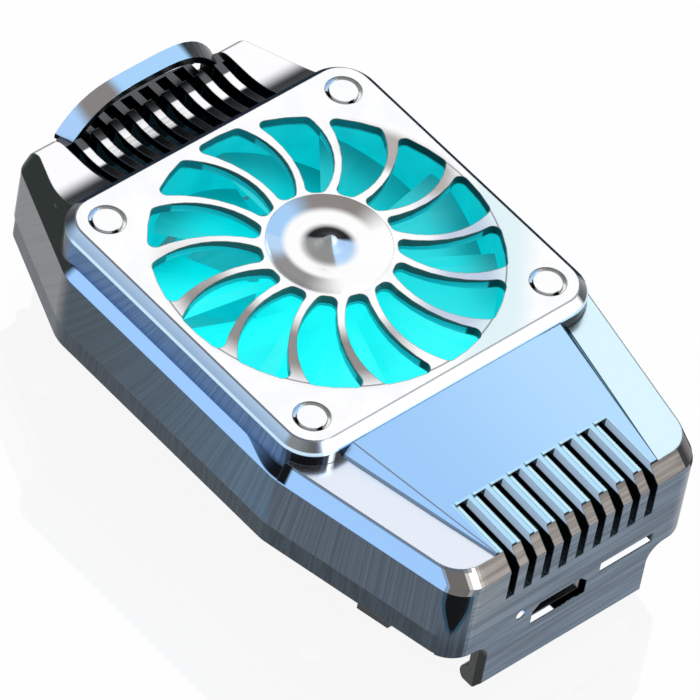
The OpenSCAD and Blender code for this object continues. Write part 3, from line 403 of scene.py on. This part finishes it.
# The vents' rims on the deck are painted paler, and a ledge in each repeats with the slots' pitch, painted pale as
# lit, with a painted dark line of shadow at its step.
vent_pitch, vent_edge = 2.35, -1.15
along = calc(tree, "FLOORED_MODULO", calc(tree, "SUBTRACT", x, vent_edge), vent_pitch)
ledge = both(tree, vent_span, band(tree, x, -10.7, 9.0, 0.05), between(tree, along, 0.62, 0.58))
ledge_edge = between(tree, along, 0.2, 0.15)
deck = tint(tree, both(tree, in_vents, 0.7), deck, "BBE7FE")
deck = tint(tree, ledge, deck, tint(tree, ledge_edge, "C6EEFE", "6E9FB8"))
upward = tint(tree, between(tree, to_z, 0.93, 0.985), bevel, deck)

# The rear shoulders are painted white, as a reflection, down to a cove of painted shade along the block. On the
# louvre's ribs that cove is painted black, as shade, and their rear ends are painted grey, as the reflection of the
# arch.
on_louvre = band(tree, x, -11.2, 11.2, 0.05)
in_cove, rib_end, rib_foot = [between(tree, y, *ends) for ends in ((24.2, 21.6), (26.5, 26.7), (24.2, 23.7))]
rear_top = tint(tree, in_cove, "FDFDFF", "22282D")
rear_top = tint(tree, both(tree, rib_end, on_louvre), rear_top, "5A5D60")
rear_top = tint(tree, both(tree, rib_foot, on_louvre), rear_top, "0B0D12")
rear_rim = both(tree, between(tree, y, 18, 19), between(tree, to_z, 0.4, 0.6), between(tree, aside, 0.3, 0.2))
upward = tint(tree, rear_rim, upward, rear_top)

# All together, with a fine dark line of painted shade along the edges and a dark one along the panel's right rim. The
# openings' floors get a near black base under their painted glow, and the steep edges at the rear and the right that
# only just face the front left and above are painted dark as shade. The vents' sides and these steep edges are
# unplated, so that they keep their painted tones.
colour = tint(tree, between(tree, to_z, 0.1, 0.2), wall, upward)
outline = both(tree, edge_line(tree, 0.00014), between(tree, to_z, -0.5, 0), 0.75)
colour = tint(tree, outline, colour, "3B4650")
colour = tint(tree, both(tree, right_rim, between(tree, to_z, 0.5, 0.9)), colour, "17303E")
colour = tint(tree, hole_floor, colour, "0B0C0D")
rear_or_right = calc(tree, "MAXIMUM", between(tree, y, 17, 19), between(tree, x, 11, 13))
far_side = both(tree, far_edge(tree, (to_x, to_y, to_z)), between(tree, z, 17.5, 18),
                between(tree, to_z, 0.02, 0.1), rear_or_right)
colour = tint(tree, far_side, colour, "2E3940")
unplated = calc(tree, "MAXIMUM", slot_side, far_side)
skin = plated(tree, colour, roughness=0.24, grain=rising, depth=0.03,
              metallic=calc(tree, "SUBTRACT", 1.0, unplated))
dull(tree, skin, far_side)
# The vents' upper sides and the openings' floors are given a painted glow, standing in for light caught there.
vent_light = both(tree, slot_side, depth_share, between(tree, to_x, 0.0, -0.5), 0.8)
tree.links.new(calc(tree, "ADD", catch_light, vent_light), skin.inputs["Emission Strength"])
tree.links.new(tint(tree, slot_side, "FAFCFF", "90A4B8"), skin.inputs["Emission Color"])
wear(shell_finish, "upper_housing")

# Inside the fan are its moulded frame and two round boards. Within the fan chamber they carry a painted cyan glow,
# standing in for the light of the LEDs between them, and hardly show past the blades.
lit_finish, tree, place, (x, y, z), (to_x, to_y, to_z) = finish_of("lit_moulding")
inside = both(tree, *[between(tree, calc(tree, "ABSOLUTE", value), chamber_half + 0.1, chamber_half)
                      for value in (x, y)])
speck = add(tree, "ShaderNodeTexNoise", {"Vector": place, "Scale": 0.4, "Detail": 2.0}).outputs[0]
cyan = tint(tree, speck, "00A9B4", "00C9D2")
skin = add(tree, "ShaderNodeBsdfPrincipled", {"Base Color": (0.01, 0.012, 0.013, 1), "Roughness": 0.5,
                                              "Emission Color": cyan, "Emission Strength": inside})
add(tree, "ShaderNodeOutputMaterial", {0: skin.outputs[0]})
wear(lit_finish, "fan_frame", "fan_board", "led_board")

# The small black parts: moulded chips, the receptacle's tongue and the switch's body, the
# rotor's pressed magnet ring, and the rubber strips and pads that are glued on.
dark_finish, tree, place, (x, y, z), (to_x, to_y, to_z) = finish_of("dark_moulding")
speck = add(tree, "ShaderNodeTexNoise", {"Vector": place, "Scale": 6.0, "Detail": 4.0}).outputs[0]
plated(tree, tint(tree, speck, "0B0C0E", "1B1D20"), roughness=0.45, grain=speck, depth=0.15, metallic=0.0)
wear(dark_finish, "magnet_ring", "board_chips", "usb_tongue", "switch_body", "seat_pads", "foot_pads")

# The steel parts: screws, the motor's yoke, shaft, bearing and stacked core, and the springs
# that pull the rear jaw in. They are turned, pressed or wound, and left plain.
steel_finish, tree, place, (x, y, z), (to_x, to_y, to_z) = finish_of("plain_steel")
lines = streaks(tree, place, (5, 5, 5))
plated(tree, tint(tree, lines, "8A8D92", "C4C7CC"), roughness=0.28, grain=lines, depth=0.1)
wear(steel_finish, "cover_screws", "shell_screws", "rotor_yoke", "rotor_shaft", "stator_core", "slide_springs",
     "shaft_bearing")

# The charging receptacle is a folded metal shell, soldered to the main board. In the front wall's opening it is
# painted dark as shade, but for the wall at its right end, which is painted white as a reflection.
port_finish, tree, place, (x, y, z), (to_x, to_y, to_z) = finish_of("port_plating")
lines = streaks(tree, place, (4, 1, 4))
inner_end = both(tree, between(tree, to_x, -0.4, -0.7), between(tree, x, 1, 1.2))
port_tone = tint(tree, inner_end, tint(tree, lines, "050607", "1C1E20"), "FFFFFF")
plated(tree, port_tone, roughness=0.4, grain=lines, depth=0.05, metallic=0.0)
wear(port_finish, "usb_port")

# The battery is a flat cell in crinkled foil. It lies over the main board, and a strip of
# tape holds it.
foil_finish, tree, place, (x, y, z), (to_x, to_y, to_z) = finish_of("cell_foil")
crinkle = add(tree, "ShaderNodeTexNoise", {"Vector": place, "Scale": 0.8, "Detail": 5.0}).outputs[0]
plated(tree, tint(tree, crinkle, "A9ACB0", "D0D3D6"), roughness=0.35, grain=crinkle, depth=0.4)
wear(foil_finish, "battery")


# The impeller is moulded in translucent plastic and turns on the motor in the middle of the fan frame. Under the
# grille it carries a painted cyan glow that stands in for the light of the LEDs round it: brightest to the front
# left, darker towards the rear right, and darker again along its far rim as painted shade.
def distance(tree, x, y):
    """How far a point is from the fan axis."""
    return calc(tree, "SQRT", calc(tree, "ADD", calc(tree, "MULTIPLY", x, x), calc(tree, "MULTIPLY", y, y)))


glow_finish, tree, place, (x, y, z), (to_x, to_y, to_z) = finish_of("lit_impeller")
back_right = calc(tree, "ADD", x, y)
lit = tint(tree, between(tree, back_right, -14, 4), "1EFFFF", "00DCE2")
lit = tint(tree, between(tree, back_right, 2, 26), lit, "00AEB8")
far_rim = both(tree, between(tree, distance(tree, x, y), 12.5, 18), between(tree, back_right, -6, 8), 0.9)
lit = tint(tree, far_rim, lit, "007A84")
cloud = add(tree, "ShaderNodeTexNoise", {"Vector": place, "Scale": 0.12, "Detail": 2.0}).outputs[0]
lit = tint(tree, both(tree, between(tree, cloud, 0.45, 0.75), 0.25), lit, "00C4CE")
skin = add(tree, "ShaderNodeBsdfPrincipled", {"Base Color": (0, 0.02, 0.02, 1), "Roughness": 0.5,
                                              "Emission Color": lit, "Emission Strength": 0.97})
add(tree, "ShaderNodeOutputMaterial", {0: skin.outputs[0]})
wear(glow_finish, "impeller")


# The grille cover is the pale satin-plated plate over the fan, with fifteen curved spokes
# that run into a raised hub. Four screws hold it, each under a round cap.
def weighed(tree, first, first_share, second, second_share):
    """The sum of two values, each times its share."""
    return calc(tree, "ADD", calc(tree, "MULTIPLY", first, first_share), calc(tree, "MULTIPLY", second, second_share))


def diagonals(tree, x, y):
    """How far a point lies towards the front right, and how far towards the rear right."""
    return weighed(tree, x, 0.72, y, -0.69), weighed(tree, x, 0.69, y, 0.72)


def cap_ring(tree, x, y, colour):
    """The colour with the ring of the nearest corner cap over it, toned by the angle round it with painted light and
    shade.
    """
    cap_place, ring_inside, ring_outside = 16.0, 1.5, 2.0
    disc_x, disc_y = [calc(tree, "SUBTRACT", value, calc(tree, "MULTIPLY", calc(tree, "SIGN", value), cap_place))
                      for value in (x, y)]
    front_right, rear_right = diagonals(tree, disc_x, disc_y)
    flat = add(tree, "ShaderNodeCombineXYZ", {0: front_right, 1: rear_right}).outputs[0]
    reach = add(tree, "ShaderNodeVectorMath", {0: flat}, operation="LENGTH").outputs["Value"]
    sweep = calc(tree, "ARCTAN2", rear_right, front_right)
    tone = tint(tree, between(tree, sweep, 0.1, 0.35), "F4F5F6", "A6A9A9")
    tone = tint(tree, between(tree, sweep, 0.5, 1.2), tone, "CCCFCF")
    tone = tint(tree, between(tree, sweep, 2.0, 2.3), tone, "C6DFF7")
    low = tint(tree, between(tree, sweep, -2.75, -2.4), "2A2C2E", "D6D8DA")
    low = tint(tree, between(tree, sweep, -1.2, -1.0), low, "0B0D0F")
    low = tint(tree, between(tree, sweep, -0.8, -0.6), low, "F4F5F6")
    tone = tint(tree, between(tree, sweep, 0.01, -0.01), tone, low)
    return tint(tree, band(tree, reach, ring_inside, ring_outside, 0.06), colour, tone)


cover_finish, tree, place, (x, y, z), (to_x, to_y, to_z) = finish_of("cover_plating")
mist = add(tree, "ShaderNodeTexNoise", {"Vector": place, "Scale": 0.35, "Detail": 4.0}).outputs[0]
reach = distance(tree, x, y)
front_right, rear_right = weighed(tree, x, 0.72, y, -0.69), weighed(tree, x, 0.6, y, 0.8)

# The flat top is white, and painted pale blue towards its front right corner as a reflection. The spokes shade off at
# their bend in painted reflection tones: to grey on the front left and the rear right, and to blue on the front
# right. A grey line of painted shade marks the step round the spokes' outer ends.
top = tint(tree, between(tree, mist, 0.35, 0.65), "F9FAFD", "FFFFFF")
top = tint(tree, band(tree, front_right, 14.5, 20.5, 1.5), top, "E2F3F8")
spoke_bend = band(tree, reach, 11.5, 17.5, 1.6)
front_left_spokes = both(tree, spoke_bend, between(tree, rear_right, 3, -8), between(tree, mist, 0.0, 0.42),
                         between(tree, front_right, 11, 5))
top = tint(tree, front_left_spokes, top, "938F8E")
front_right_spokes = both(tree, spoke_bend, between(tree, front_right, 5, 9), between(tree, rear_right, -13, -9),
                          between(tree, rear_right, 9, 5), 0.8)
top = tint(tree, front_right_spokes, top, "B3C2DC")
rear_right_spokes = both(tree, band(tree, reach, 13.0, 18.3, 0.9), band(tree, front_right, 1.0, 12.5, 1.5),
                         between(tree, rear_right, 6, 9), 0.85)
top = tint(tree, rear_right_spokes, top, "A19C9A")
step_side = calc(tree, "MAXIMUM", between(tree, rear_right, -5, -8), between(tree, front_right, 9, 12))
step_line = both(tree, band(tree, reach, 18.25, 18.42, 0.04), step_side, 0.8)
top = tint(tree, step_line, top, "77757A")

# The chamfered rim carries painted reflection tones by the way it turns: blue to the left, grey round the front left
# corner, white along the front, dark to the right and the rear. It has a painted pale highlight along its lower edge
# and a painted grey line along its upper edge.
corner_mid = 15.95
out_x, out_y = [calc(tree, "SUBTRACT", value,
                     calc(tree, "MAXIMUM", calc(tree, "MINIMUM", value, corner_mid), -corner_mid))
                for value in (x, y)]
turned = turn_share(tree, out_x, out_y)
upper_edge = between(tree, z, 22.84, 22.9)
left_rim = tint(tree, between(tree, z, 22.9, 22.1), "ACC4E1", "96B4D2")
rim = tint(tree, between(tree, out_x, -0.1, 0.1), left_rim, "3A4046")
left_corner = tint(tree, between(tree, turned, -0.3, -0.6), "83888B", "5C6063")
rim = tint(tree, band(tree, turned, -0.66, -0.14, 0.08), rim, left_corner)
rim = tint(tree, between(tree, turned, -0.64, -0.74), rim, "FBFBFD")
rim = tint(tree, between(tree, turned, 0.1, 0.5), rim, "30353A")
lower_edge = both(tree, between(tree, z, 22.12, 22.04), between(tree, turned, 0.2, 0.05))
rim = tint(tree, lower_edge, rim, "CFE8FC")
rim = tint(tree, upper_edge, rim, tint(tree, between(tree, turned, -0.5, -0.8), "66727F", "AEB5BC"))

# The walls of the holes between the spokes are painted with the cyan light of the fan, and painted darkest along the
# outer arc, as shade.
hole_reach = 19.3
hole_wall = tint(tree, between(tree, z, 22.6, 21.9), "22C2CE", "40E4EC")
hole_wall = tint(tree, upper_edge, hole_wall, "2E4A4E")
outer_arc = both(tree, between(tree, reach, 16.5, 16.8), between(tree, z, 21.8, 22.1))
hole_wall = tint(tree, outer_arc, hole_wall, tint(tree, between(tree, front_right, 0, 9), "177A84", "0A2830"))
in_hole = both(tree, between(tree, to_z, 0.5, 0.3), between(tree, reach, hole_reach + 0.1, hole_reach - 0.1))

colour = tint(tree, between(tree, to_z, 0.85, 0.97), tint(tree, in_hole, rim, hole_wall), top)
colour = cap_ring(tree, x, y, colour)
# A fine dark line of painted shade runs along the upper edges, and the steep outer edge that only just faces the
# front left and above is painted dark as shade. It and the hole walls are unplated, so that they keep their painted
# tones.
outline = both(tree, edge_line(tree, 0.00012), between(tree, z, 22.5, 22.7))
colour = tint(tree, outline, colour, "6A6664")
far_side = both(tree, far_edge(tree, (to_x, to_y, to_z)), between(tree, reach, 19, 19.2),
                between(tree, to_z, 0.02, 0.1))
colour = tint(tree, far_side, colour, "2A3340")
unplated = calc(tree, "MAXIMUM", both(tree, in_hole, 0.9), far_side)
skin = plated(tree, colour, roughness=0.28, grain=mist, depth=0.02, metallic=calc(tree, "SUBTRACT", 1.0, unplated))
dull(tree, skin, far_side)
wear(cover_finish, "grille_cover")

# The corner caps are small pressed discs with a bright face and a rounded rim. They snap into
# the cover over the screws.
disc_finish, tree, place, (x, y, z), (to_x, to_y, to_z) = finish_of("disc_plating")
mist = add(tree, "ShaderNodeTexNoise", {"Vector": place, "Scale": 0.5, "Detail": 4.0}).outputs[0]
# The ring round the face carries painted light and shade, toned by the angle round it.
plated(tree, cap_ring(tree, x, y, tint(tree, mist, "F8F9FB", "FFFFFF")), roughness=0.25)
wear(disc_finish, "corner_caps")

# The hub cap is polished brighter than the plate. It is a dished disc with a small cone in its middle, pressed into
# the recess of the cover over the motor. Its ring and cone carry painted reflection tones, light and dark by the
# angle round them, and a painted glint near the cone's tip.
cap_finish, tree, place, (x, y, z), (to_x, to_y, to_z) = finish_of("cap_plating")
reach = distance(tree, x, y)
front_right, rear_right = diagonals(tree, x, y)
sweep = calc(tree, "ARCTAN2", rear_right, front_right)
ring = tint(tree, between(tree, sweep, 0.4, 1.15), "FDFDFD", "8C8784")
ring = tint(tree, between(tree, sweep, 1.9, 2.5), ring, "A6CFF8")
low_ring = tint(tree, between(tree, sweep, -2.9, -2.5), "B9D6F6", "8F8D8D")
low_ring = tint(tree, between(tree, sweep, -2.0, -1.2), low_ring, "FDFDFD")
ring = tint(tree, between(tree, sweep, 0.02, -0.02), ring, low_ring)
cone = tint(tree, between(tree, sweep, -1.35, -1.15), "8E8E8E", "B2D2F4")
cone = tint(tree, between(tree, sweep, 0.2, 0.6), cone, "15171B")
cone_seam = tint(tree, between(tree, sweep, 2.7, 3.0), cone, "8E8E8E")
cone = tint(tree, between(tree, sweep, -0.02, 0.02), cone, cone_seam)
inner = tint(tree, between(tree, reach, 3.3, 2.2), "FDFDFD", cone)
glint = both(tree, band(tree, reach, 0.3, 0.75, 0.15), band(tree, sweep, -0.9, 1.9, 0.3))
inner = tint(tree, glint, inner, "F4FAFF")
colour = tint(tree, between(tree, reach, 5.2, 4.3), ring, inner)
cone_roughness = calc(tree, "ADD", 0.2, both(tree, between(tree, reach, 2.8, 2.2), 0.3))
plated(tree, colour, roughness=cone_roughness)
wear(cap_finish, "hub_cap")

# The main board is green lacquered laminate and lies inside the front of the body. The
# receptacle, the switch and the chips are soldered to it.
board_finish, tree, place, (x, y, z), (to_x, to_y, to_z) = finish_of("board")
speck = add(tree, "ShaderNodeTexNoise", {"Vector": place, "Scale": 2.0, "Detail": 6.0}).outputs[0]
plated(tree, tint(tree, speck, "0A3B22", "115C38"), roughness=0.35, grain=speck, depth=0.1, metallic=0.0)
wear(board_finish, "main_board")

# The lights and the indicator's light pipe are cast in clear resin. The pipe is pressed into
# its hole in the front wall, beside the receptacle.
clear_finish, tree, place, (x, y, z), (to_x, to_y, to_z) = finish_of("lens")
speck = add(tree, "ShaderNodeTexNoise", {"Vector": place, "Scale": 3.0}).outputs[0]
plated(tree, tint(tree, speck, "D8F4F6", "F4FFFF"), roughness=0.2, grain=speck, depth=0.02, metallic=0.0)
wear(clear_finish, "leds", "indicator_light")

# The wires in red insulation run from the battery and the fan to the main board. The motor's
# wound coils and the battery's tape have the same red.
wire_finish, tree, place, (x, y, z), (to_x, to_y, to_z) = finish_of("wire")
speck = add(tree, "ShaderNodeTexNoise", {"Vector": place, "Scale": 3.0}).outputs[0]
plated(tree, tint(tree, speck, "8A1410", "A82019"), roughness=0.4, grain=speck, depth=0.05, metallic=0.0)
wear(wire_finish, "battery_leads", "fan_leads", "stator_coils", "battery_tape")

# The switch knob is moulded in black nylon and clipped into the switch's body behind the
# front wall. It slides across the front in its slot.
knob_finish, tree, place, (x, y, z), (to_x, to_y, to_z) = finish_of("black_nylon")
speck = add(tree, "ShaderNodeTexNoise", {"Vector": place, "Scale": 4.0, "Detail": 3.0}).outputs[0]
plated(tree, tint(tree, speck, "101214", "1C1F22"), roughness=0.4, grain=speck, depth=0.05, metallic=0.0)
wear(knob_finish, "switch_knob")

# The rear jaw is a plated moulding that slides out on its tray. Its pull arch stands over a
# ribbed deck in line with the louvre, and the tray itself is left pale and unplated.
jaw_finish, tree, place, (x, y, z), (to_x, to_y, to_z) = finish_of("jaw_plating")
across = streaks(tree, place, (0.08, 1, 2.4))
wall = brushed(tree, across, "323A43", "4C565F")
# Faces turned towards the front are painted near black, as shade.
wall = tint(tree, between(tree, to_y, -0.2, 0.2), "0A0C10", wall)
# The arch's top carries painted reflection tones along its length: blue, grey-brown, blue, and dark at its right end.
left_bend, middle, right_bend = [between(tree, x, *ends) for ends in ((-8.8, -7.4), (-4.6, -3.2), (5.0, 6.2))]
arch = tint(tree, left_bend, "AACFFA", "858281")
arch = tint(tree, middle, arch, "A8D4FC")
arch = tint(tree, right_bend, arch, "2A2F34")
on_arch = both(tree, between(tree, z, 19.55, 19.7), between(tree, to_z, 0.1, 0.2))
# Between the ribs the deck is painted black as shade, and the rib tops are painted grey, as the reflection of the
# arch.
ribs = tint(tree, between(tree, to_z, 0.7, 0.9), "06060C", "5A5D60")
rib_zone = both(tree, band(tree, y, 20, 34, 0.05), between(tree, to_y, 0.7, 0.5))
colour = tint(tree, on_arch, tint(tree, rib_zone, wall, ribs), arch)
tray_top, tray_end = 12.9, 27.8
on_tray = both(tree, between(tree, z, tray_top + 0.1, tray_top - 0.1),
               between(tree, y, tray_end + 0.1, tray_end - 0.1))
colour = tint(tree, on_tray, colour, brushed(tree, across, "E4EAEC", "F0F4F5"))
plated(tree, colour, roughness=0.26, grain=across, depth=0.08, metallic=calc(tree, "SUBTRACT", 1.0, on_tray))
wear(jaw_finish, "rear_jaw")

# The jaw pads are soft black rubber, with a round bulb that holds the phone's edge. One is
# glued to the inner face of each jaw.
rubber_finish, tree, place, (x, y, z), (to_x, to_y, to_z) = finish_of("black_rubber")
speck = add(tree, "ShaderNodeTexNoise", {"Vector": place, "Scale": 9.0, "Detail": 4.0}).outputs[0]
plated(tree, tint(tree, speck, "0C0E10", "1A1D20"), roughness=0.42, grain=speck, depth=0.12, metallic=0.0)
wear(rubber_finish, "front_jaw_pad", "rear_jaw_pad")
